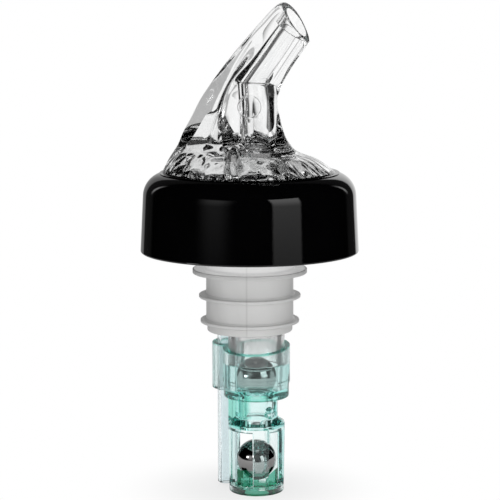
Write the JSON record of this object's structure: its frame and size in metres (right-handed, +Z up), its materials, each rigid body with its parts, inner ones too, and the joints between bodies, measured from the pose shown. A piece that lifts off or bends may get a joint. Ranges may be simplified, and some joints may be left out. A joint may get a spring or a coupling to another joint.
{
  "type": "measured liquor pourer",
  "caption": "Measured liquor pourer with a clear slanted spout, a black collar, a ribbed cork and a tail with timing balls.",
  "frame": {"origin": "on the cork's axis, in the plane where the bottle's lip bears", "axes": "+Z up out of the bottle along the cork's axis, +X the way the spout leans"},
  "size_m": [0.045, 0.045, 0.1012],
  "materials": {
    "clear_plastic": "clear, polished",
    "hazy_plastic": "hazy, satin",
    "black_plastic": "gloss",
    "cork_plastic": "milky, satin",
    "green_plastic": "clear tinted, polished",
    "ball_steel": "polished"
  },
  "bodies": {
    "pourer": {"spout": "clear_plastic", "collar": "black_plastic", "cork": "cork_plastic", "barrel": "hazy_plastic", "breather_tube": "clear_plastic", "dose_cap": "green_plastic", "ball_retainer": "green_plastic"},
    "timing_ball": {"timing_ball": "ball_steel"},
    "valve_ball": {"valve_ball": "ball_steel"}
  },
  "joints": [
    {"name": "timing_ball_run", "type": "slide", "parent": "pourer", "child": "timing_ball", "axis": [0, 0, 1], "range_m": [0, 0.0427]},
    {"name": "valve_ball_lift", "type": "slide", "parent": "pourer", "child": "valve_ball", "axis": [0, 0, 1], "range_m": [0, 0.00365]}
  ]
}
